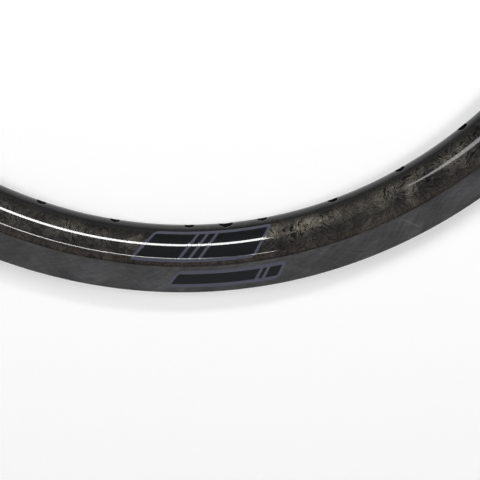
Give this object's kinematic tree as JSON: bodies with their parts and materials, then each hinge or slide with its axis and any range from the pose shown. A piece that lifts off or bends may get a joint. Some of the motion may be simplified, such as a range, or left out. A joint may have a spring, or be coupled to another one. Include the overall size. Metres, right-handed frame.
{
  "type": "bicycle rim",
  "caption": "Hollow moulded carbon-fibre bicycle rim with a rounded spoke bed, flat sidewalls, hooked tyre channel, spoke holes and a valve hole.",
  "frame": {"origin": "centre of the rim, on the wheel's axle line and in the rim's middle plane", "axes": "+Z along the wheel's axle; -Y from the centre towards the valve hole; the rim lies flat"},
  "size_m": [0.571, 0.571, 0.03],
  "materials": {
    "carbon": "gloss clear coat over chopped carbon fibre"
  },
  "bodies": {
    "root": {"rim": "carbon"}
  },
  "joints": []
}
